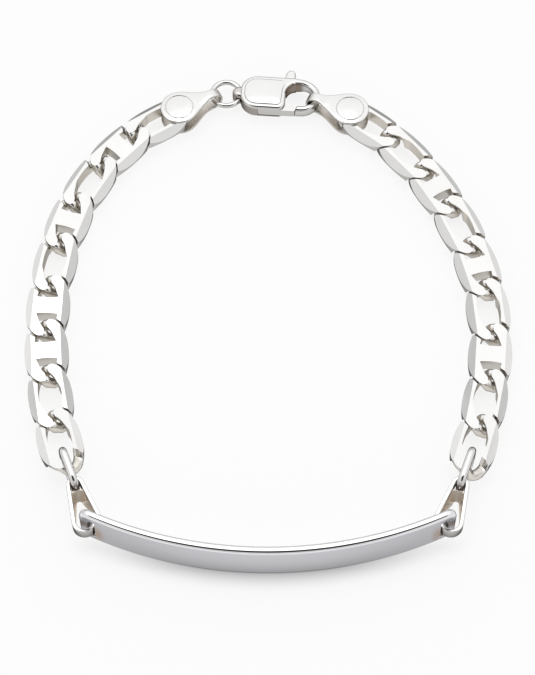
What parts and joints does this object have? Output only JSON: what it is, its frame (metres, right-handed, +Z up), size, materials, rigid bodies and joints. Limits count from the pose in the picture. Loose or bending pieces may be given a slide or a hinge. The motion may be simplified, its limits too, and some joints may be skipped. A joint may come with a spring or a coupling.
{
  "type": "id bracelet",
  "caption": "Silver identity bracelet lying closed: a curved blank name plate on its edge, bevelled flat chain links on both sides and a lobster clasp with a jump ring.",
  "frame": {"origin": "on the surface the bracelet lies on, at the middle of the closed bracelet's outline", "axes": "+Z up from the surface; +Y from the name plate at the front to the clasp at the back; +X to the right as seen from the plate, so the clasp's hook points along +X"},
  "size_m": [0.0604, 0.071, 0.006],
  "materials": {
    "plate_silver": "polished silver with a finely satin outer face",
    "chain_silver": "mirror-polished silver, flat-ground faces and bevels",
    "cap_silver": "polished silver",
    "clasp_silver": "polished cast silver"
  },
  "bodies": {
    "bracelet": {"id_plate": "plate_silver", "bail_left": "chain_silver", "bail_right": "chain_silver", "oval_link_left": "chain_silver", "oval_link_right": "chain_silver", "link_l9": "chain_silver", "link_l8": "chain_silver", "link_l7": "chain_silver", "link_l6": "chain_silver", "link_l5": "chain_silver", "link_l4": "chain_silver", "link_l3": "chain_silver", "link_l2": "chain_silver", "link_l1": "chain_silver", "link_r9": "chain_silver", "link_r8": "chain_silver", "link_r7": "chain_silver", "link_r6": "chain_silver", "link_r5": "chain_silver", "link_r4": "chain_silver", "link_r3": "chain_silver", "link_r2": "chain_silver", "link_r1": "chain_silver", "end_cap_left": "cap_silver", "end_cap_right": "cap_silver", "jump_ring": "clasp_silver", "clasp_body": "clasp_silver"},
    "lever": {"clasp_lever": "clasp_silver"}
  },
  "joints": [
    {"name": "lever_hinge", "type": "hinge", "parent": "bracelet", "child": "lever", "pos_m": [-0.001, 0.03023, 0.00125], "axis": [0, 0, 1], "range_deg": [0, 22], "stiffness_Nm_per_rad": 0.012, "springref_deg": -17.19}
  ]
}
